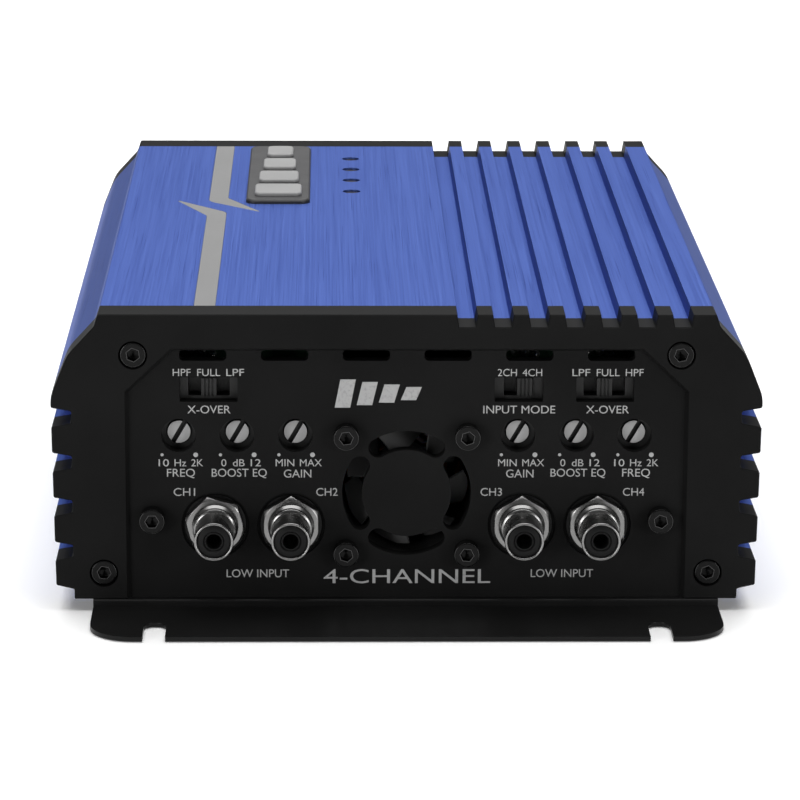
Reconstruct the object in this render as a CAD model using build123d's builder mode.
from build123d import *
import math
import os

# Compact four-channel car amplifier. Millimetres.
# Origin: bottom centre of the whole unit. X right, Y towards the terminal end, Z up.
# The control end faces -Y. The housing is an upside-down extruded channel, closed by
# an end panel at each end and a jogged steel base plate whose ends are mounting flanges.

# ---------------------------------------------------------------- driving dimensions
BODY_WIDTH = 152.0          # over the side ribs
BODY_LENGTH = 200.0         # over both end panels
PANEL_DEPTH = 8.5           # thickness of an end panel at its rim
SHEET = 1.0                 # base plate sheet
JOG = 1.6                   # step down from the base plate to its flanges
FLANGE_LENGTH = 21.7        # how far a flange stands out past a panel
FLANGE_HALF = 67.5
BOTTOM = SHEET + JOG        # underside of housing and panels
TOP = 65.6                  # flat top of the housing
FLAT_HALF = 65.7            # half width of the flat top
FOOT_HALF = 71.5            # half width at the very bottom

GROOVE_COUNT = 7
GROOVE_PITCH = 7.65
GROOVE_FIRST = 12.7         # centre of the first groove
GROOVE_DEPTH = 2.7
GROOVE_TOP_WIDTH = 4.4
GROOVE_FLOOR_WIDTH = 3.5

NOTCH_COUNT = 4
NOTCH_PITCH = 9.9
NOTCH_LOWEST = 13.35        # centre height of the lowest side notch
NOTCH_FLOOR = 71.6          # distance of a notch's floor from the middle
NOTCH_MOUTH_HEIGHT = 4.1
NOTCH_FLOOR_HEIGHT = 2.7

WALL_INSIDE = 67.5          # inner face of the side walls
CEILING = 59.6              # inner face of the top
RAIL_INSIDE = 60.5          # inner face of the thick bottom rails
RAIL_TOP = 13.5

RECESS_HALF = 60.2          # sunk field of an end panel
RECESS_TOP = 58.2
RECESS_CORNER_X = 50.3
RECESS_CORNER_Z = 48.8
RECESS_DEPTH = 1.5
PLATE_THICK = 3.0           # panel thickness in the sunk field

FRONT = -BODY_LENGTH / 2                    # rim face of the front panel
FIELD = FRONT + RECESS_DEPTH                # sunk face of the front panel
PLATE_BACK = FIELD + PLATE_THICK            # back of the front panel's plate
HOUSING_FRONT = FRONT + PANEL_DEPTH
HOUSING_LENGTH = BODY_LENGTH - 2 * PANEL_DEPTH
REAR = -FRONT
REAR_FIELD = REAR - RECESS_DEPTH
REAR_PLATE_BACK = REAR_FIELD - PLATE_THICK
HOUSING_REAR = REAR - PANEL_DEPTH

VENT_COUNT = 6
VENT_PITCH = 17.42
VENT_WIDTH = 10.1
VENT_HEIGHT = 2.4
VENT_Z = 56.4

FAN_Z = 25.9
GRILLE_OUTER = 13.85
GRILLE_INNER = 9.6
GRILLE_WEB = 1.3
FAN_SCREW_OFFSET = 13.0
FAN_SIZE = 31.6
FAN_DEPTH = 10.0
FAN_BORE = 14.1

JACK_XS = (-41.1, -24.8, 24.8, 41.1)
JACK_Z = 18.8
JACK_POCKET_RADIUS = 7.3
JACK_POCKET_DEPTH = 0.8
JACK_SHELL_RADIUS = 4.2
JACK_REACH = 14.0           # mouth of a jack in front of its pocket floor
JACK_THREAD_RADIUS = 4.9
NUT_ACROSS_FLATS = 11.6
NUT_THICK = 2.2

TRIMMER_Z = 38.7
TRIMMERS = {
    "crossover_trimmer_left": -48.85,
    "boost_trimmer_left": -36.35,
    "gain_trimmer_left": -23.85,
    "gain_trimmer_right": 23.85,
    "boost_trimmer_right": 36.35,
    "crossover_trimmer_right": 48.85,
}
TRIMMER_HOLE_RADIUS = 3.7
TRIMMER_RADIUS = 2.6
TRIMMER_FACE = FIELD + 3.4  # slotted face, sunk behind the panel
TRIMMER_START_ANGLE = -30.0  # slot angle at the low end stop
TRIMMER_CASE = 10.0         # side of the square case

SWITCH_Z = 48.85
# name: (centre of the opening, opening width, rest position of the slider)
SWITCHES = {
    "crossover_slider_left": (-42.35, 12.4, -42.35),
    "input_mode_slider": (23.9, 10.4, 25.25),
    "crossover_slider_right": (42.35, 12.4, 42.35),
}
SWITCH_HEIGHT = 5.4
SLIDER_WIDTH = 3.3
SLIDER_HEIGHT = 3.9
SLIDER_STEP = 2.7
SLIDER_FACE = FIELD + 2.3

CORNER_SCREWS = ((-58.35, 56.7), (58.35, 56.7), (-65.1, 8.4), (65.1, 8.4))
SCREW_HEAD_RADIUS = 2.75
SCREW_HEAD = 2.8            # head height of the corner screws
LONG_HEAD = 3.2             # head height of the fan and bracket screws
COUNTERBORE = 3.2
SOCKET_RADIUS = 1.45        # hexagon socket, over its corners
SCREW_SHANK = 1.5
SCREW_HOLE = 1.55
BRACKET_SCREWS = ((-54.6, 20.4), (54.6, 20.4))

BOARD = 1.6                 # thickness of the circuit boards
CONTROL_BOARD_Y = -84.0     # front face of the upright control boards
MAIN_BOARD_Z = 9.0          # underside of the main board

running = 0.05              # radial running clearance


def at_y(y):
    """Upright plane across the unit, seen from the front: X right, Z up, facing -Y."""
    return Plane.XZ.offset(-y)


def finish(piece, name):
    piece.part.label = name
    export_step(piece.part, f"parts/{name}.step")


os.makedirs("parts", exist_ok=True)

# ---------------------------------------------------------------- shared outline
# The end view of housing and panels: flat grooved top, curved shoulders, ribbed sides.
with BuildSketch() as outline:
    with BuildLine():
        half = FilletPolyline(
            (0, TOP), (FLAT_HALF, TOP), (66.6, 62.9), (72.4, 56.6), (76.0, 47.6),
            (75.4, 5.7), (FOOT_HALF, 4.8), (FOOT_HALF, BOTTOM), (0, BOTTOM),
            radius=(0.4, 2.5, 9.0, 8.0, 0.5, 0.4, 0.3),
        )
        mirror(half, about=Plane.YZ)
    make_face()
    for i in range(NOTCH_COUNT):
        z = NOTCH_LOWEST + i * NOTCH_PITCH
        for side in (-1, 1):
            with BuildLine():
                Polyline(
                    (side * 78, z - 2.45), (side * NOTCH_FLOOR, z - NOTCH_FLOOR_HEIGHT / 2),
                    (side * NOTCH_FLOOR, z + NOTCH_FLOOR_HEIGHT / 2), (side * 78, z + 2.45),
                    close=True,
                )
            make_face(mode=Mode.SUBTRACT)
    fillet([v for v in outline.vertices()
            if abs(v.X) > 71 and NOTCH_LOWEST - 3 < v.Y < 45.5], radius=0.55)
    for i in range(GROOVE_COUNT):
        x = GROOVE_FIRST + i * GROOVE_PITCH
        with BuildLine():
            Polyline(
                (x - GROOVE_FLOOR_WIDTH / 2, TOP - GROOVE_DEPTH),
                (x + GROOVE_FLOOR_WIDTH / 2, TOP - GROOVE_DEPTH),
                (x + GROOVE_TOP_WIDTH / 2, TOP), (x - GROOVE_TOP_WIDTH / 2, TOP),
                close=True,
            )
        make_face(mode=Mode.SUBTRACT)

# ---------------------------------------------------------------- heatsink housing
STRIPE_X = -43.3
STRIPE_WIDTH = 4.6
INLAY_DEPTH = 0.5
LED_X = -11.0
LED_YS = [32.5 + 14.0 * i for i in range(4)]
LED_RADIUS = 2.1
LED_SINK = 0.4              # lens tops below the flat top
LED_BOARD_Z = 54.0          # upper face of the indicator board
BADGE_CENTRE = (-28.9, 52.0)
BADGE_SIZE = (15.4, 70.0)
BADGE_SINK = 0.4


def front_stripe(grow=0.0):
    """Outline of the front inlay strip: straight from the panel, then a swept tip."""
    left = STRIPE_X - STRIPE_WIDTH / 2 - grow
    right = STRIPE_X + STRIPE_WIDTH / 2 + grow
    with BuildSketch() as stripe:
        with BuildLine():
            FilletPolyline(
                (left, HOUSING_FRONT), (left, 3.0), (-53.8 - grow, 22.0 + grow),
                (right, 7.2 + grow), (right, HOUSING_FRONT),
                radius=(4.0, 0.3, 5.0), close=False,
            )
            Line((right, HOUSING_FRONT), (left, HOUSING_FRONT))
        make_face()
    return stripe.sketch


def rear_stripe(grow=0.0):
    """The rear inlay strip, the front one turned half round about the gap between them."""
    left = STRIPE_X - STRIPE_WIDTH / 2 - grow
    right = STRIPE_X + STRIPE_WIDTH / 2 + grow
    with BuildSketch() as stripe:
        with BuildLine():
            FilletPolyline(
                (right, HOUSING_REAR), (right, 24.0), (-32.4 + grow, 6.8 - grow),
                (left, 20.0 - grow), (left, HOUSING_REAR),
                radius=(4.0, 0.3, 5.0), close=False,
            )
            Line((left, HOUSING_REAR), (right, HOUSING_REAR))
        make_face()
    return stripe.sketch


RAIL_SCREW_X = 63.9
RAIL_SCREW_YS = (-70.0, 0.0, 70.0)
BADGE_PIN_YS = (25.0, 74.0)
BADGE_PIN_RADIUS = 1.0
CLAMP_YS = (-36.0, 6.0, 48.0)   # screws of the transistor clamp bars
CLAMP_Z = 36.0

with BuildPart() as heatsink_housing:
    with BuildSketch(at_y(HOUSING_FRONT)):
        add(outline.sketch)
    extrude(amount=-HOUSING_LENGTH)
    # the hollow inside, between thick bottom rails and two upper screw bosses
    with BuildSketch(at_y(HOUSING_FRONT)):
        with BuildLine():
            hollow = FilletPolyline(
                (0, CEILING), (52.5, CEILING), (52.5, 52.5), (62.0, 52.5), (WALL_INSIDE, 45.0),
                (WALL_INSIDE, RAIL_TOP), (RAIL_INSIDE, RAIL_TOP), (RAIL_INSIDE, BOTTOM),
                (0, BOTTOM),
                radius=(1.0, 2.0, 3.0, 3.0, 1.0, 1.0, 0.2),
            )
            mirror(hollow, about=Plane.YZ)
        make_face()
    extrude(amount=-HOUSING_LENGTH, mode=Mode.SUBTRACT)
    # tapped holes for the panel screws, from both ends
    for end in (HOUSING_FRONT, HOUSING_REAR):
        with BuildSketch(at_y(end)):
            with Locations(*CORNER_SCREWS):
                Circle(SCREW_HOLE)
        extrude(amount=14.0 if end > 0 else -14.0, mode=Mode.SUBTRACT)
    # tapped holes for the base plate screws
    with BuildSketch(Plane.XY.offset(BOTTOM)):
        with Locations(*[(s * RAIL_SCREW_X, y) for s in (-1, 1) for y in RAIL_SCREW_YS]):
            Circle(SCREW_HOLE)
    extrude(amount=6.5, mode=Mode.SUBTRACT)
    # tapped holes for the transistor clamp bars in both side walls
    for side in (-1, 1):
        with BuildSketch(Plane.YZ.offset(side * (WALL_INSIDE - 1))):
            with Locations(*[(y, CLAMP_Z) for y in CLAMP_YS]):
                Circle(SCREW_HOLE)
        extrude(amount=side * 4.0, mode=Mode.SUBTRACT)
    # indicator light holes
    with BuildSketch(Plane.XY.offset(TOP)):
        with Locations(*[(LED_X, y) for y in LED_YS]):
            Circle(LED_RADIUS + running)
    extrude(amount=-(TOP - CEILING), mode=Mode.SUBTRACT)
    # shallow pockets for the inlay strips and the badge
    with BuildSketch(Plane.XY.offset(TOP)):
        add(front_stripe(running))
        add(rear_stripe(running))
    extrude(amount=-INLAY_DEPTH, mode=Mode.SUBTRACT)
    with BuildSketch(Plane.XY.offset(TOP)):
        with Locations(BADGE_CENTRE):
            RectangleRounded(BADGE_SIZE[0] + 0.1, BADGE_SIZE[1] + 0.1, 2.5)
    extrude(amount=-BADGE_SINK, mode=Mode.SUBTRACT)
    with BuildSketch(Plane.XY.offset(TOP)):
        with Locations(*[(BADGE_CENTRE[0], y) for y in BADGE_PIN_YS]):
            Circle(BADGE_PIN_RADIUS + running)
    extrude(amount=-3.5, mode=Mode.SUBTRACT)
finish(heatsink_housing, "heatsink_housing")

# ---------------------------------------------------------------- front panel


def recess_field():
    """The sunk field of an end panel: open at the bottom, with cut upper corners."""
    with BuildSketch() as field:
        with BuildLine():
            Polyline(
                (-RECESS_HALF, -4), (RECESS_HALF, -4), (RECESS_HALF, RECESS_CORNER_Z),
                (RECESS_CORNER_X, RECESS_TOP), (-RECESS_CORNER_X, RECESS_TOP),
                (-RECESS_HALF, RECESS_CORNER_Z), close=True,
            )
        make_face()
    return field.sketch


def panel_blank(face_y, inward):
    """End panel blank: rim, sunk field, back pocket, vent slots and corner screw holes.

    face_y is the rim face; inward is +1 when the housing lies towards +Y.
    """
    with BuildPart() as blank:
        with BuildSketch(at_y(face_y)):
            add(outline.sketch)
        extrude(amount=-inward * PANEL_DEPTH)
        rim_face = blank.faces().sort_by(Axis.Y)[0 if inward > 0 else -1]
        chamfer(rim_face.edges(), length=0.25)
        with BuildSketch(at_y(face_y)) as mouth:
            add(recess_field())
        with BuildSketch(at_y(face_y + inward * RECESS_DEPTH)) as floor:
            add(recess_field())
            offset(amount=-0.8, kind=Kind.INTERSECTION, mode=Mode.REPLACE)
        loft(mode=Mode.SUBTRACT)
        # pocket behind the plate, inside the rim
        with BuildSketch(at_y(face_y + inward * (RECESS_DEPTH + PLATE_THICK))):
            with BuildLine():
                Polyline(
                    (-58.0, 6.0), (58.0, 6.0), (58.0, 48.5), (52.5, 52.0), (52.5, 58.6),
                    (-52.5, 58.6), (-52.5, 52.0), (-58.0, 48.5), close=True,
                )
            make_face()
        extrude(amount=-inward * PANEL_DEPTH, mode=Mode.SUBTRACT)
        # vent slots under the top edge
        with BuildSketch(at_y(face_y)):
            with Locations((0, VENT_Z)):
                with GridLocations(VENT_PITCH, 1, VENT_COUNT, 1):
                    RectangleRounded(VENT_WIDTH, VENT_HEIGHT, 0.9)
        extrude(amount=-inward * PANEL_DEPTH, mode=Mode.SUBTRACT)
        # counterbored corner screw holes
        with BuildSketch(at_y(face_y)):
            with Locations(*CORNER_SCREWS):
                Circle(SCREW_HEAD_RADIUS + 0.35)
        extrude(amount=-inward * COUNTERBORE, mode=Mode.SUBTRACT)
        with BuildSketch(at_y(face_y)):
            with Locations(*CORNER_SCREWS):
                Circle(SCREW_HOLE)
        extrude(amount=-inward * PANEL_DEPTH, mode=Mode.SUBTRACT)
    return blank.part


def grille_slot(angle):
    """One quarter of the fan opening: a ring slot with rounded ends."""
    middle = (GRILLE_OUTER + GRILLE_INNER) / 2
    end_radius = (GRILLE_OUTER - GRILLE_INNER) / 2
    reach = 90 - 2 * math.degrees((end_radius + GRILLE_WEB / 2) / middle)
    with BuildSketch() as slot:
        with Locations((0, FAN_Z)):
            SlotArc(
                CenterArc((0, 0), middle, angle - reach / 2, reach, mode=Mode.PRIVATE),
                height=2 * end_radius,
            )
    return slot.sketch


with BuildPart() as front_panel:
    add(panel_blank(FRONT, 1))
    for k in range(4):
        with BuildSketch(at_y(FIELD)):
            add(grille_slot(90 * k))
        extrude(amount=-PLATE_THICK, mode=Mode.SUBTRACT)
    # fan screw, bracket screw and trimmer holes
    with BuildSketch(at_y(FIELD)):
        with Locations((0, FAN_Z)):
            with GridLocations(2 * FAN_SCREW_OFFSET, 2 * FAN_SCREW_OFFSET, 2, 2):
                Circle(SCREW_HOLE)
        with Locations(*BRACKET_SCREWS):
            Circle(SCREW_HOLE)
        with Locations(*[(x, TRIMMER_Z) for x in TRIMMERS.values()]):
            Circle(TRIMMER_HOLE_RADIUS)
        for centre, width, _ in SWITCHES.values():
            with Locations((centre, SWITCH_Z)):
                RectangleRounded(width, SWITCH_HEIGHT, 0.3)
        with Locations(*[(x, JACK_Z) for x in JACK_XS]):
            Circle(JACK_THREAD_RADIUS + 0.1)
    extrude(amount=-PLATE_THICK, mode=Mode.SUBTRACT)
    # round pockets for the jack nuts
    with BuildSketch(at_y(FIELD)):
        with Locations(*[(x, JACK_Z) for x in JACK_XS]):
            Circle(JACK_POCKET_RADIUS)
    extrude(amount=-JACK_POCKET_DEPTH, mode=Mode.SUBTRACT)
finish(front_panel, "front_panel")

# ---------------------------------------------------------------- rear panel
POWER_BLOCK = (31.5, 23.0)      # centre of the power terminal block
POWER_BLOCK_SIZE = (46.0, 20.0)
SPEAKER_BLOCK = (-27.0, 23.0)
SPEAKER_BLOCK_SIZE = (63.0, 16.0)
BLOCK_REACH = 12.0              # how far the blocks stand out of the rear panel
BLOCK_STEP = 2.0                # step from a block's face down to its neck, all round


def block_neck(size, gap=0.0):
    """Width and height of a terminal block's neck, or of its window with a gap all round."""
    return [side - 2 * BLOCK_STEP + 2 * gap for side in size]


with BuildPart() as rear_panel:
    add(panel_blank(REAR, -1))
    with BuildSketch(at_y(REAR_FIELD)):
        with Locations(POWER_BLOCK):
            Rectangle(*block_neck(POWER_BLOCK_SIZE, 0.1))
        with Locations(SPEAKER_BLOCK):
            Rectangle(*block_neck(SPEAKER_BLOCK_SIZE, 0.1))
    extrude(amount=PLATE_THICK, mode=Mode.SUBTRACT)
finish(rear_panel, "rear_panel")

# ---------------------------------------------------------------- base plate
SLOT_X = 53.6
SLOT_WIDTH = 4.8
SLOT_DEPTH = 10.0
FLANGE_END = REAR + FLANGE_LENGTH
STANDOFFS = [(x, y) for x in (-50.0, 50.0) for y in (-68.0, 4.0, 76.0)]
JOG_RUN = 0.4               # the jog lies this far in front of the panel face

with BuildPart() as base_plate:
    # side view of the sheet: flange, jog, plate, jog, flange
    with BuildSketch(Plane.YZ):
        y0, y1 = FRONT - JOG_RUN, FRONT + SHEET - JOG_RUN
        with BuildLine():
            Polyline(
                (-FLANGE_END, 0), (y1, 0), (y1, JOG), (-y1, JOG), (-y1, 0), (FLANGE_END, 0),
                (FLANGE_END, SHEET), (-y0, SHEET), (-y0, BOTTOM), (y0, BOTTOM), (y0, SHEET),
                (-FLANGE_END, SHEET), close=True,
            )
        make_face()
    extrude(amount=FLANGE_HALF, both=True)
    fillet([e for e in base_plate.edges().filter_by(Axis.X)
            if abs(abs(e.center().Y) - abs(y0)) < 0.01 and e.center().Z > BOTTOM - 0.01], 0.6)
    fillet([e for e in base_plate.edges().filter_by(Axis.Z)
            if abs(abs(e.center().Y) - FLANGE_END) < 0.01], 9.5)
    # open mounting slots in the flanges
    for end in (-1, 1):
        with BuildSketch():
            with Locations(*[(s * SLOT_X, end * (FLANGE_END - SLOT_DEPTH + SLOT_WIDTH / 2))
                             for s in (-1, 1)]):
                Circle(SLOT_WIDTH / 2)
            with Locations(*[(s * SLOT_X, end * FLANGE_END) for s in (-1, 1)]):
                Rectangle(SLOT_WIDTH, 2 * (SLOT_DEPTH - SLOT_WIDTH / 2))
        extrude(amount=BOTTOM, mode=Mode.SUBTRACT)
    # countersunk screw holes into the rails, plain holes for the board standoffs
    with BuildSketch(Plane.XY.offset(JOG)):
        with Locations(*[(s * RAIL_SCREW_X, y) for s in (-1, 1) for y in RAIL_SCREW_YS]):
            Circle(SCREW_HOLE)
        with Locations(*STANDOFFS):
            Circle(SCREW_HOLE)
    extrude(amount=SHEET, mode=Mode.SUBTRACT)
finish(base_plate, "base_plate")

# ---------------------------------------------------------------- screws


def socket_screws(points, seat_y, length, head_height, facing):
    """Socket-head screws along Y, heads towards the outside (facing -1 is the front)."""
    with BuildPart() as group:
        with BuildSketch(at_y(seat_y)):
            with Locations(*points):
                Circle(SCREW_HEAD_RADIUS)
        extrude(amount=-facing * head_height)
        outer = [f for f in group.faces().filter_by(Axis.Y)
                 if abs(f.center().Y - (seat_y + facing * head_height)) < 0.01]
        chamfer([e for f in outer for e in f.edges()], length=0.35)
        with BuildSketch(at_y(seat_y)):
            with Locations(*points):
                Circle(SCREW_SHANK)
        extrude(amount=facing * length)
        with BuildSketch(at_y(seat_y + facing * head_height)):
            with Locations(*points):
                RegularPolygon(SOCKET_RADIUS, 6, major_radius=True)
        extrude(amount=facing * 1.6, mode=Mode.SUBTRACT)
    return group


finish(socket_screws(CORNER_SCREWS, FRONT + COUNTERBORE, 14.0, SCREW_HEAD, -1),
       "front_panel_screws")
finish(socket_screws(CORNER_SCREWS, REAR - COUNTERBORE, 14.0, SCREW_HEAD, 1),
       "rear_panel_screws")
FAN_SCREWS = [(sx * FAN_SCREW_OFFSET, FAN_Z + sz * FAN_SCREW_OFFSET)
              for sx in (-1, 1) for sz in (-1, 1)]
finish(socket_screws(FAN_SCREWS, FIELD, 12.0, LONG_HEAD, -1), "fan_screws")
finish(socket_screws(BRACKET_SCREWS, FIELD, 6.5, LONG_HEAD, -1), "bracket_screws")

RAIL_SCREWS = [(s * RAIL_SCREW_X, y) for s in (-1, 1) for y in RAIL_SCREW_YS]
RAIL_HEAD_BOTTOM = 0.1      # the heads clear the surface that the flanges stand on

with BuildPart() as base_plate_screws:
    with BuildSketch(Plane.XY.offset(RAIL_HEAD_BOTTOM)):
        with Locations(*RAIL_SCREWS):
            Circle(SCREW_HEAD_RADIUS)
    extrude(amount=JOG - RAIL_HEAD_BOTTOM)
    with BuildSketch(Plane.XY.offset(JOG)):
        with Locations(*RAIL_SCREWS):
            Circle(SCREW_SHANK)
    extrude(amount=7.0)
    # cross slots in the heads
    with BuildSketch(Plane.XY.offset(RAIL_HEAD_BOTTOM)):
        with Locations(*RAIL_SCREWS):
            Rectangle(3.0, 0.7)
            Rectangle(0.7, 3.0)
    extrude(amount=0.9, mode=Mode.SUBTRACT)
finish(base_plate_screws, "base_plate_screws")

# ---------------------------------------------------------------- cooling fan
FAN_FRONT = PLATE_BACK
FAN_BACK = FAN_FRONT + FAN_DEPTH
AXLE_RADIUS = 1.0

with BuildPart() as fan_frame:
    with BuildSketch(at_y(FAN_FRONT)):
        with Locations((0, FAN_Z)):
            RectangleRounded(FAN_SIZE, FAN_SIZE, 2.0)
            Circle(FAN_BORE, mode=Mode.SUBTRACT)
            with GridLocations(2 * FAN_SCREW_OFFSET, 2 * FAN_SCREW_OFFSET, 2, 2):
                Circle(SCREW_HOLE, mode=Mode.SUBTRACT)
    extrude(amount=-FAN_DEPTH)
    # motor seat on three struts across the back
    with BuildSketch(at_y(FAN_BACK)):
        with Locations((0, FAN_Z)):
            Circle(8.0)
            for angle in (30, 150, 270):
                with Locations(Location((0, 0, 0), (0, 0, angle))):
                    with Locations((FAN_BORE / 2 + 0.5, 0)):
                        Rectangle(FAN_BORE + 1.0, 2.2)
            Circle(AXLE_RADIUS + running, mode=Mode.SUBTRACT)
    extrude(amount=1.2)
finish(fan_frame, "fan_frame")

BLADE_COUNT = 7
BLADE_START = 5.0           # where the front edge of the first blade points
BLADE_SWEEP = -38.0         # how far a blade's rear edge is turned from its front edge
BLADE_LENGTH = 5.8
BLADE_MIDDLE = 10.5         # middle of a blade, from the axle
BLADE_THICK = 1.0
HUB_RADIUS = 8.2
ROTOR_FRONT = FAN_FRONT + 0.8
ROTOR_BACK = FAN_BACK - 1.8

with BuildPart() as fan_rotor:
    with BuildSketch(at_y(ROTOR_FRONT)):
        with Locations((0, FAN_Z)):
            Circle(HUB_RADIUS)
    extrude(amount=-(ROTOR_BACK - ROTOR_FRONT))
    chamfer(fan_rotor.faces().sort_by(Axis.Y)[0].edges(), length=0.8)
    with BuildSketch(at_y(ROTOR_BACK)):
        with Locations((0, FAN_Z)):
            Circle(AXLE_RADIUS)
    extrude(amount=-1.7)
    for k in range(BLADE_COUNT):
        angle = BLADE_START + 360 / BLADE_COUNT * k
        for y, turn in ((ROTOR_FRONT + 0.6, 0.0), (ROTOR_BACK - 0.2, BLADE_SWEEP)):
            with BuildSketch(at_y(y)):
                with Locations(Location((0, FAN_Z, 0), (0, 0, angle + turn))):
                    with Locations((BLADE_MIDDLE, 0)):
                        Rectangle(BLADE_LENGTH, BLADE_THICK)
        loft()
finish(fan_rotor, "fan_rotor")

# ---------------------------------------------------------------- phono input jacks
POCKET_FLOOR = FIELD + JACK_POCKET_DEPTH
JACK_MOUTH = POCKET_FLOOR - JACK_REACH
JACK_FLANGE = 5.0           # moulded back end behind the panel
JACK_BACK = PLATE_BACK + JACK_FLANGE
GRIP_LENGTH = 9.0
SHOULDER = 1.2
NECK_START = GRIP_LENGTH + SHOULDER
JACKS = [(x, JACK_Z) for x in JACK_XS]
INSULATOR_RADIUS = 3.35
CONTACT_RADIUS = 1.9
CONTACT_BORE = 1.6
CONTACT_START = 0.6         # contact behind the mouth
CONTACT_DEPTH = 10.0

with BuildPart() as rca_shells:
    # thin outer ring that a plug grips, a shoulder, the threaded neck and a back flange
    for start, depth, radius in (
        (JACK_MOUTH, GRIP_LENGTH, JACK_SHELL_RADIUS),
        (JACK_MOUTH + GRIP_LENGTH, SHOULDER, 4.6),
        (JACK_MOUTH + NECK_START, PLATE_BACK - JACK_MOUTH - NECK_START, JACK_THREAD_RADIUS),
        (PLATE_BACK, JACK_FLANGE, 5.6),
    ):
        with BuildSketch(at_y(start)):
            with Locations(*JACKS):
                Circle(radius)
        extrude(amount=-depth)
    with BuildSketch(at_y(JACK_MOUTH)):
        with Locations(*JACKS):
            Circle(INSULATOR_RADIUS + 0.3)
    extrude(amount=-(JACK_BACK - JACK_MOUTH), mode=Mode.SUBTRACT)
finish(rca_shells, "rca_shells")

with BuildPart() as rca_insulators:
    with BuildSketch(at_y(JACK_MOUTH + 0.3)):
        with Locations(*JACKS):
            Circle(INSULATOR_RADIUS + 0.25)
            Circle(CONTACT_RADIUS + 0.03, mode=Mode.SUBTRACT)
    extrude(amount=-(JACK_BACK - JACK_MOUTH - 0.3))
finish(rca_insulators, "rca_insulators")

with BuildPart() as rca_contacts:
    with BuildSketch(at_y(JACK_MOUTH + CONTACT_START)):
        with Locations(*JACKS):
            Circle(CONTACT_RADIUS)
            Circle(CONTACT_BORE, mode=Mode.SUBTRACT)
    extrude(amount=-CONTACT_DEPTH)
    with BuildSketch(at_y(JACK_MOUTH + CONTACT_START + CONTACT_DEPTH)):
        with Locations(*JACKS):
            Circle(CONTACT_RADIUS)
    extrude(amount=-(JACK_BACK - JACK_MOUTH - CONTACT_START - CONTACT_DEPTH))
    with BuildSketch(at_y(JACK_BACK)):
        with Locations(*JACKS):
            Circle(0.6)
    extrude(amount=-(CONTROL_BOARD_Y + BOARD + 1.0 - JACK_BACK))
finish(rca_contacts, "rca_contacts")

NUT_TURNS = (15, 30, 30, 30)
with BuildPart() as rca_nuts:
    for (x, z), turn in zip(JACKS, NUT_TURNS):
        with BuildSketch(at_y(POCKET_FLOOR)):
            with Locations((x, z)):
                RegularPolygon(NUT_ACROSS_FLATS / 2, 6, major_radius=False, rotation=turn)
                Circle(JACK_THREAD_RADIUS + 0.06, mode=Mode.SUBTRACT)
        extrude(amount=NUT_THICK)
finish(rca_nuts, "rca_nuts")

# ---------------------------------------------------------------- trimmers
CASE_FRONT = PLATE_BACK + 1.0
TRIMMER_SEAT = CASE_FRONT + 3.5

with BuildPart() as trimmer_cases:
    with BuildSketch(at_y(CASE_FRONT)):
        with Locations(*[(x, TRIMMER_Z) for x in TRIMMERS.values()]):
            RectangleRounded(TRIMMER_CASE, TRIMMER_CASE, 0.6)
    extrude(amount=-(CONTROL_BOARD_Y - CASE_FRONT))
    with BuildSketch(at_y(CASE_FRONT)):
        with Locations(*[(x, TRIMMER_Z) for x in TRIMMERS.values()]):
            Circle(TRIMMER_RADIUS + running)
    extrude(amount=-(TRIMMER_SEAT - CASE_FRONT), mode=Mode.SUBTRACT)
finish(trimmer_cases, "trimmer_cases")

for name, x in TRIMMERS.items():
    with BuildPart() as shaft:
        with BuildSketch(at_y(TRIMMER_FACE)):
            with Locations((x, TRIMMER_Z)):
                Circle(TRIMMER_RADIUS)
        extrude(amount=-(TRIMMER_SEAT - running - TRIMMER_FACE))
        chamfer(shaft.faces().sort_by(Axis.Y)[0].edges(), length=0.25)
        with BuildSketch(at_y(TRIMMER_FACE)):
            with Locations((x, TRIMMER_Z)):
                Rectangle(0.95, 2 * TRIMMER_RADIUS + 1, rotation=TRIMMER_START_ANGLE)
        extrude(amount=-1.4, mode=Mode.SUBTRACT)
    finish(shaft, name)

# ---------------------------------------------------------------- slide switches
SWITCH_FRONT = PLATE_BACK + 0.1
SLIDER_BACK = SWITCH_FRONT + 3.0

with BuildPart() as switch_cases:
    for name, (centre, width, rest) in SWITCHES.items():
        with BuildSketch(at_y(SWITCH_FRONT)):
            with Locations((centre, SWITCH_Z)):
                Rectangle(width + 2.6, SWITCH_HEIGHT + 1.6)
        extrude(amount=-(CONTROL_BOARD_Y - SWITCH_FRONT))
        # the way the slider runs in
        steps = 2 if name.startswith("crossover") else 1
        with BuildSketch(at_y(SWITCH_FRONT)):
            with Locations((centre, SWITCH_Z)):
                Rectangle(SLIDER_WIDTH + steps * SLIDER_STEP + 0.2, SLIDER_HEIGHT + 0.2)
        extrude(amount=-(SLIDER_BACK + 0.1 - SWITCH_FRONT), mode=Mode.SUBTRACT)
finish(switch_cases, "switch_cases")

for name, (centre, width, rest) in SWITCHES.items():
    with BuildPart() as slider:
        with BuildSketch(at_y(SLIDER_FACE)):
            with Locations((rest, SWITCH_Z)):
                Rectangle(SLIDER_WIDTH, SLIDER_HEIGHT)
        extrude(amount=-(SLIDER_BACK - SLIDER_FACE))
        # finger grooves
        with BuildSketch(at_y(SLIDER_FACE)):
            with Locations((rest, SWITCH_Z)):
                with GridLocations(0.8, 1, 3, 1):
                    Rectangle(0.35, SLIDER_HEIGHT + 1)
        extrude(amount=-0.4, mode=Mode.SUBTRACT)
    finish(slider, name)

# ---------------------------------------------------------------- top trim
with BuildPart() as inlay_front:
    with BuildSketch(Plane.XY.offset(TOP - INLAY_DEPTH)):
        add(front_stripe())
    extrude(amount=INLAY_DEPTH)
finish(inlay_front, "inlay_front")

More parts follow.
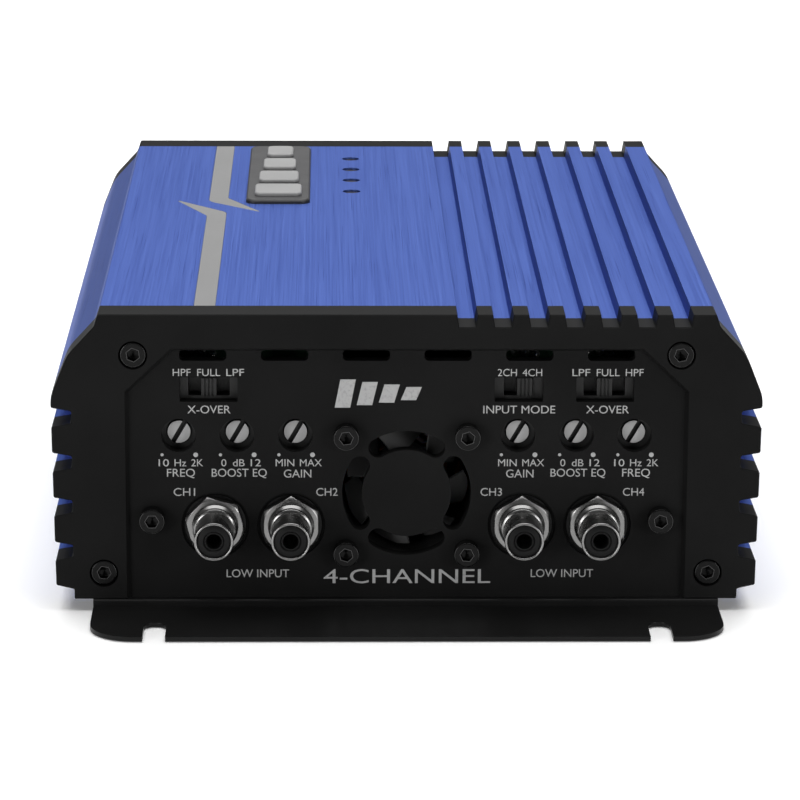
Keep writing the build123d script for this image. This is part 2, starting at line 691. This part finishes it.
with BuildPart() as inlay_rear:
    with BuildSketch(Plane.XY.offset(TOP - INLAY_DEPTH)):
        add(rear_stripe())
    extrude(amount=INLAY_DEPTH)
finish(inlay_rear, "inlay_rear")

BADGE_THICK = 1.4
with BuildPart() as badge_base:
    with BuildSketch(Plane.XY.offset(TOP - BADGE_SINK)):
        with Locations(BADGE_CENTRE):
            RectangleRounded(BADGE_SIZE[0], BADGE_SIZE[1], 2.4)
    extrude(amount=BADGE_THICK)
    chamfer(badge_base.faces().sort_by(Axis.Z)[-1].edges(), length=0.4)
    with BuildSketch(Plane.XY.offset(TOP - BADGE_SINK)):
        with Locations(*[(BADGE_CENTRE[0], y) for y in BADGE_PIN_YS]):
            Circle(BADGE_PIN_RADIUS)
    extrude(amount=-2.8)
finish(badge_base, "badge_base")

# four plain bars of falling length stand on the badge, one for each channel
BAR_PITCH = 16.5
BAR_WIDTH = 11.4            # the front bar; each bar behind it is BAR_TAPER narrower
BAR_TAPER = 1.6
BAR_LENGTH = 11.5
with BuildPart() as badge_bars:
    with BuildSketch(Plane.XY.offset(TOP - BADGE_SINK + BADGE_THICK)):
        for i in range(4):
            with Locations((BADGE_CENTRE[0], BADGE_CENTRE[1] + (i - 1.5) * BAR_PITCH)):
                RectangleRounded(BAR_WIDTH - BAR_TAPER * i, BAR_LENGTH, 1.6)
    extrude(amount=0.9)
    tops = badge_bars.faces().filter_by(Axis.Z).group_by(Axis.Z)[-1]
    chamfer([e for f in tops for e in f.edges()], length=0.3)
finish(badge_bars, "badge_bars")

with BuildPart() as led_lenses:
    with BuildSketch(Plane.XY.offset(TOP - LED_SINK)):
        with Locations(*[(LED_X, y) for y in LED_YS]):
            Circle(LED_RADIUS)
    extrude(amount=-(TOP - LED_SINK - LED_BOARD_Z))
finish(led_lenses, "led_lenses")

with BuildPart() as indicator_board:
    with BuildSketch(Plane.XY.offset(LED_BOARD_Z - BOARD)):
        with Locations((LED_X, sum(LED_YS) / 4)):
            Rectangle(9.0, 56.0)
    extrude(amount=BOARD)
finish(indicator_board, "indicator_board")

# ---------------------------------------------------------------- boards
for name, side in (("control_board_left", -1), ("control_board_right", 1)):
    with BuildPart() as board:
        with BuildSketch(at_y(CONTROL_BOARD_Y)):
            with Locations((side * 38.0, 31.0)):
                Rectangle(36.0, 41.0)
            with Locations((side * 35.75, 50.0)):
                Rectangle(31.5, 16.0)
            with Locations(*[(x, JACK_Z) for x in JACK_XS if x * side > 0]):
                Circle(0.7, mode=Mode.SUBTRACT)
        extrude(amount=-BOARD)
    finish(board, name)

BRACKET_INNER = 51.5
BRACKET_OUTER = 57.5
BRACKET_SHEET = 1.5
BRACKET_FOOT = 2.0          # the tapped foot against the panel
BRACKET_HEIGHT = 7.0

with BuildPart() as board_brackets:
    # a tapped angle at each side carries its control board from the panel
    for side in (-1, 1):
        with BuildSketch(Plane.XY.offset(BRACKET_SCREWS[0][1] - BRACKET_HEIGHT / 2)):
            with BuildLine():
                inner, outer = side * BRACKET_INNER, side * BRACKET_OUTER
                web = inner + side * BRACKET_SHEET
                Polyline(
                    (outer, PLATE_BACK), (outer, PLATE_BACK + BRACKET_FOOT),
                    (web, PLATE_BACK + BRACKET_FOOT), (web, CONTROL_BOARD_Y - BRACKET_SHEET),
                    (outer, CONTROL_BOARD_Y - BRACKET_SHEET), (outer, CONTROL_BOARD_Y),
                    (inner, CONTROL_BOARD_Y), (inner, PLATE_BACK), close=True,
                )
            make_face()
        extrude(amount=BRACKET_HEIGHT)
    with BuildSketch(at_y(PLATE_BACK)):
        with Locations(*BRACKET_SCREWS):
            Circle(SCREW_HOLE)
    extrude(amount=-6.0, mode=Mode.SUBTRACT)
finish(board_brackets, "board_brackets")

with BuildPart() as main_board:
    with BuildSketch(Plane.XY.offset(MAIN_BOARD_Z)):
        with Locations((0, 3.5)):
            Rectangle(116.0, 161.0)
        with Locations(*STANDOFFS):
            Circle(SCREW_HOLE, mode=Mode.SUBTRACT)
    extrude(amount=BOARD)
finish(main_board, "main_board")

with BuildPart() as board_standoffs:
    with BuildSketch(Plane.XY.offset(BOTTOM)):
        with Locations(*STANDOFFS):
            RegularPolygon(2.8, 6, major_radius=False)
            Circle(SCREW_HOLE, mode=Mode.SUBTRACT)
    extrude(amount=MAIN_BOARD_Z - BOTTOM)
finish(board_standoffs, "board_standoffs")

with BuildPart() as board_screws:
    with BuildSketch(Plane.XY.offset(MAIN_BOARD_Z + BOARD)):
        with Locations(*STANDOFFS):
            Circle(2.8)
    extrude(amount=1.8)
    with BuildSketch(Plane.XY.offset(MAIN_BOARD_Z + BOARD)):
        with Locations(*STANDOFFS):
            Circle(SCREW_SHANK)
    extrude(amount=-(MAIN_BOARD_Z + BOARD - JOG - 0.4))
finish(board_screws, "board_screws")

# ---------------------------------------------------------------- power stage
BOARD_TOP = MAIN_BOARD_Z + BOARD
FET_SPOTS = (-57.0, -44.0, -28.0, -15.0, -2.0, 14.0, 27.0, 40.0, 56.0, 69.0)
FET_ROW_Y = 5.5             # middle of the row
FET_Z = 30.0
FET_PAD = 0.3               # insulator between a transistor and the wall
FET_BACK = WALL_INSIDE - FET_PAD
FET_THICK = 4.4
LEG_TOP = 22.0
LEG_STEP = 17.4             # where a leg turns inwards
LEG_OUTER = 64.4
LEG_INNER = 57.4
LEG = 0.6                   # leg thickness

for name, side in (("output_transistors_left", -1), ("output_transistors_right", 1)):
    with BuildPart() as bank:
        for y in FET_SPOTS:
            with BuildSketch(Plane.YZ.offset(side * FET_BACK)):
                with Locations((y, FET_Z)):
                    Rectangle(10.0, 16.0)
            extrude(amount=-side * FET_THICK)
            # three bent legs down to the board
            for leg in (-2.54, 0, 2.54):
                with BuildSketch(Plane.XZ.offset(-(y + leg - 0.4))):
                    with BuildLine():
                        Polyline(
                            (side * LEG_OUTER, LEG_TOP), (side * LEG_OUTER, LEG_STEP),
                            (side * LEG_INNER, LEG_STEP), (side * LEG_INNER, BOARD_TOP),
                            (side * (LEG_INNER - LEG), BOARD_TOP),
                            (side * (LEG_INNER - LEG), LEG_STEP + LEG),
                            (side * (LEG_OUTER - LEG), LEG_STEP + LEG),
                            (side * (LEG_OUTER - LEG), LEG_TOP), close=True,
                        )
                    make_face()
                extrude(amount=-0.8)
    finish(bank, name)

with BuildPart() as insulator_strips:
    for side in (-1, 1):
        with BuildSketch(Plane.YZ.offset(side * WALL_INSIDE)):
            with Locations((FET_ROW_Y, FET_Z)):
                Rectangle(140.0, 20.0)
            with Locations(*[(y, CLAMP_Z) for y in CLAMP_YS]):
                Circle(SCREW_HOLE, mode=Mode.SUBTRACT)
        extrude(amount=-side * FET_PAD)
finish(insulator_strips, "insulator_strips")

CLAMP_FACE = FET_BACK - FET_THICK
CLAMP_THICK = 2.0
with BuildPart() as clamp_bars:
    for side in (-1, 1):
        with BuildSketch(Plane.YZ.offset(side * CLAMP_FACE)):
            with Locations((FET_ROW_Y, CLAMP_Z - 2.0)):
                Rectangle(138.0, 9.0)
            with Locations(*[(y, CLAMP_Z) for y in CLAMP_YS]):
                Circle(SCREW_HOLE, mode=Mode.SUBTRACT)
        extrude(amount=-side * CLAMP_THICK)
finish(clamp_bars, "clamp_bars")

with BuildPart() as clamp_screws:
    for side in (-1, 1):
        with BuildSketch(Plane.YZ.offset(side * (CLAMP_FACE - CLAMP_THICK))):
            with Locations(*[(y, CLAMP_Z) for y in CLAMP_YS]):
                Circle(2.6)
        extrude(amount=-side * 2.0)
        with BuildSketch(Plane.YZ.offset(side * (CLAMP_FACE - CLAMP_THICK))):
            with Locations(*[(y, CLAMP_Z) for y in CLAMP_YS]):
                Circle(SCREW_SHANK)
        extrude(amount=side * 9.2)
finish(clamp_screws, "clamp_screws")

# ---------------------------------------------------------------- supply parts
TOROID = (0.0, -48.0)
CORE_OUTER = 17.0
CORE_INNER = 10.0
CORE_HEIGHT = 13.0
CORE_LIFT = 3.0             # room for the winding under the core
with BuildPart() as transformer_core:
    with BuildSketch(Plane.XY.offset(BOARD_TOP + CORE_LIFT)):
        with Locations(TOROID):
            Circle(CORE_OUTER)
            Circle(CORE_INNER, mode=Mode.SUBTRACT)
    extrude(amount=CORE_HEIGHT)
finish(transformer_core, "transformer_core")

WINDING_TURNS = 24
WIRE = 1.3
LOOP_WIDTH = CORE_OUTER - CORE_INNER + 0.2
LOOP_HEIGHT = CORE_HEIGHT + 0.2
with BuildPart() as transformer_winding:
    # flat copper loops round the core, each a rectangular ring standing on edge
    for k in range(WINDING_TURNS):
        turn = 360 / WINDING_TURNS * k
        with BuildSketch(Plane(origin=(TOROID[0], TOROID[1], 0),
                               x_dir=Vector(1, 0, 0).rotate(Axis.Z, turn),
                               z_dir=Vector(0, -1, 0).rotate(Axis.Z, turn))):
            with Locations(((CORE_OUTER + CORE_INNER) / 2, BOARD_TOP + CORE_LIFT + CORE_HEIGHT / 2)):
                RectangleRounded(LOOP_WIDTH + 2 * WIRE, LOOP_HEIGHT + 2 * WIRE, 1.2)
                RectangleRounded(LOOP_WIDTH, LOOP_HEIGHT, 0.1, mode=Mode.SUBTRACT)
        extrude(amount=WIRE / 2, both=True)
finish(transformer_winding, "transformer_winding")


def capacitors(xs, ys, radius, height):
    """Upright cans on the main board, one at each crossing of the rows, with rolled upper rims."""
    with BuildPart() as cans:
        with BuildSketch(Plane.XY.offset(BOARD_TOP)):
            with Locations(*[(x, y) for x in xs for y in ys]):
                Circle(radius)
        extrude(amount=height)
        ends = cans.faces().filter_by(Axis.Z).group_by(Axis.Z)[-1]
        fillet([e for f in ends for e in f.edges()], radius=0.9)
    return cans


finish(capacitors((18.0, 36.0), (56.0, 74.0), 8.0, 26.0), "input_capacitors")
finish(capacitors((-33.0, 33.0), (-24.0, -4.0), 9.0, 30.0), "rail_capacitors")

INDUCTOR_SIDE = 14.0
INDUCTOR_HEIGHT = 13.0

with BuildPart() as output_inductors:
    with BuildSketch(Plane.XY.offset(BOARD_TOP)):
        with Locations(*[(x, y) for x in (-44.0, -26.0) for y in (36.0, 54.0)]):
            RectangleRounded(INDUCTOR_SIDE, INDUCTOR_SIDE, 2.0)
    extrude(amount=INDUCTOR_HEIGHT)
finish(output_inductors, "output_inductors")

# ---------------------------------------------------------------- rear terminals
POWER_PORTS = {-14.5: 4.3, 0.0: 2.1, 14.5: 4.3}     # offset from the block centre: bore radius
SPEAKER_PORTS = [7.2 * (i - 3.5) for i in range(8)]
SPEAKER_BORE = 2.1
BLOCK_FACE = REAR_FIELD + BLOCK_REACH
INSERT_LENGTH = 16.0
INSERT_FRONT = BLOCK_FACE - 1.5
CAGE_WALL = 1.2
GRUB_RADIUS = 2.05          # the largest grub screw; a small port has a thinner one
GRUB_LENGTH = 5.0
GRUB_BACK = 4.5             # how far the grub screws stand behind the front of the inserts


def grub_radius(bore):
    return min(bore - 0.55, GRUB_RADIUS)


def terminal_housing(centre, size, ports):
    """Moulded terminal block: it stands out of the panel, with a neck through it."""
    with BuildPart() as block:
        with BuildSketch(at_y(REAR_FIELD)):
            with Locations(centre):
                RectangleRounded(size[0], size[1], 1.2)
        extrude(amount=-BLOCK_REACH)
        with BuildSketch(at_y(REAR_FIELD)):
            with Locations(centre):
                Rectangle(*block_neck(size))
        extrude(amount=8.0)
        for off, bore in ports:
            # a square chamber for the metal insert, a round mouth, a screw well on top
            side = 2 * (bore + CAGE_WALL)
            with BuildSketch(at_y(INSERT_FRONT)):
                with Locations((centre[0] + off, centre[1])):
                    Rectangle(side + 0.1, side + 0.1)
            extrude(amount=INSERT_LENGTH, mode=Mode.SUBTRACT)
            with BuildSketch(at_y(BLOCK_FACE)):
                with Locations((centre[0] + off, centre[1])):
                    Circle(bore + 0.4)
            extrude(amount=2.0, mode=Mode.SUBTRACT)
            with BuildSketch(Plane.XY.offset(centre[1])):
                with Locations((centre[0] + off, INSERT_FRONT - GRUB_BACK)):
                    Circle(grub_radius(bore) + 0.65)
            extrude(amount=size[1], mode=Mode.SUBTRACT)
    return block


def terminal_inserts(centre, ports):
    """Plated clamp cages, one in each chamber: a wire bore and a tapped screw hole."""
    with BuildPart() as inserts:
        for off, bore in ports:
            side = 2 * (bore + CAGE_WALL)
            with BuildSketch(at_y(INSERT_FRONT)):
                with Locations((centre[0] + off, centre[1])):
                    Rectangle(side, side)
                    Circle(bore, mode=Mode.SUBTRACT)
            extrude(amount=INSERT_LENGTH - 0.1)
            with BuildSketch(Plane.XY.offset(centre[1])):
                with Locations((centre[0] + off, INSERT_FRONT - GRUB_BACK)):
                    Circle(grub_radius(bore) + running)
            extrude(amount=side, mode=Mode.SUBTRACT)
    return inserts


def terminal_screws(centre, ports):
    """Hexagon-socket grub screws, backed out so that the wire bores are open."""
    with BuildPart() as screws:
        for off, bore in ports:
            spot = (centre[0] + off, INSERT_FRONT - GRUB_BACK)
            with BuildSketch(Plane.XY.offset(centre[1] + bore + 0.2)):
                with Locations(spot):
                    Circle(grub_radius(bore))
            extrude(amount=GRUB_LENGTH)
            with BuildSketch(Plane.XY.offset(centre[1] + bore + 0.2 + GRUB_LENGTH)):
                with Locations(spot):
                    RegularPolygon(grub_radius(bore) * 0.6, 6, major_radius=True)
            extrude(amount=-2.0, mode=Mode.SUBTRACT)
    return screws


power_ports = list(POWER_PORTS.items())
speaker_ports = [(off, SPEAKER_BORE) for off in SPEAKER_PORTS]
finish(terminal_housing(POWER_BLOCK, POWER_BLOCK_SIZE, power_ports), "power_terminal_block")
finish(terminal_inserts(POWER_BLOCK, power_ports), "power_terminal_inserts")
finish(terminal_screws(POWER_BLOCK, power_ports), "power_terminal_screws")
finish(terminal_housing(SPEAKER_BLOCK, SPEAKER_BLOCK_SIZE, speaker_ports), "speaker_terminal_block")
finish(terminal_inserts(SPEAKER_BLOCK, speaker_ports), "speaker_terminal_inserts")
finish(terminal_screws(SPEAKER_BLOCK, speaker_ports), "speaker_terminal_screws")
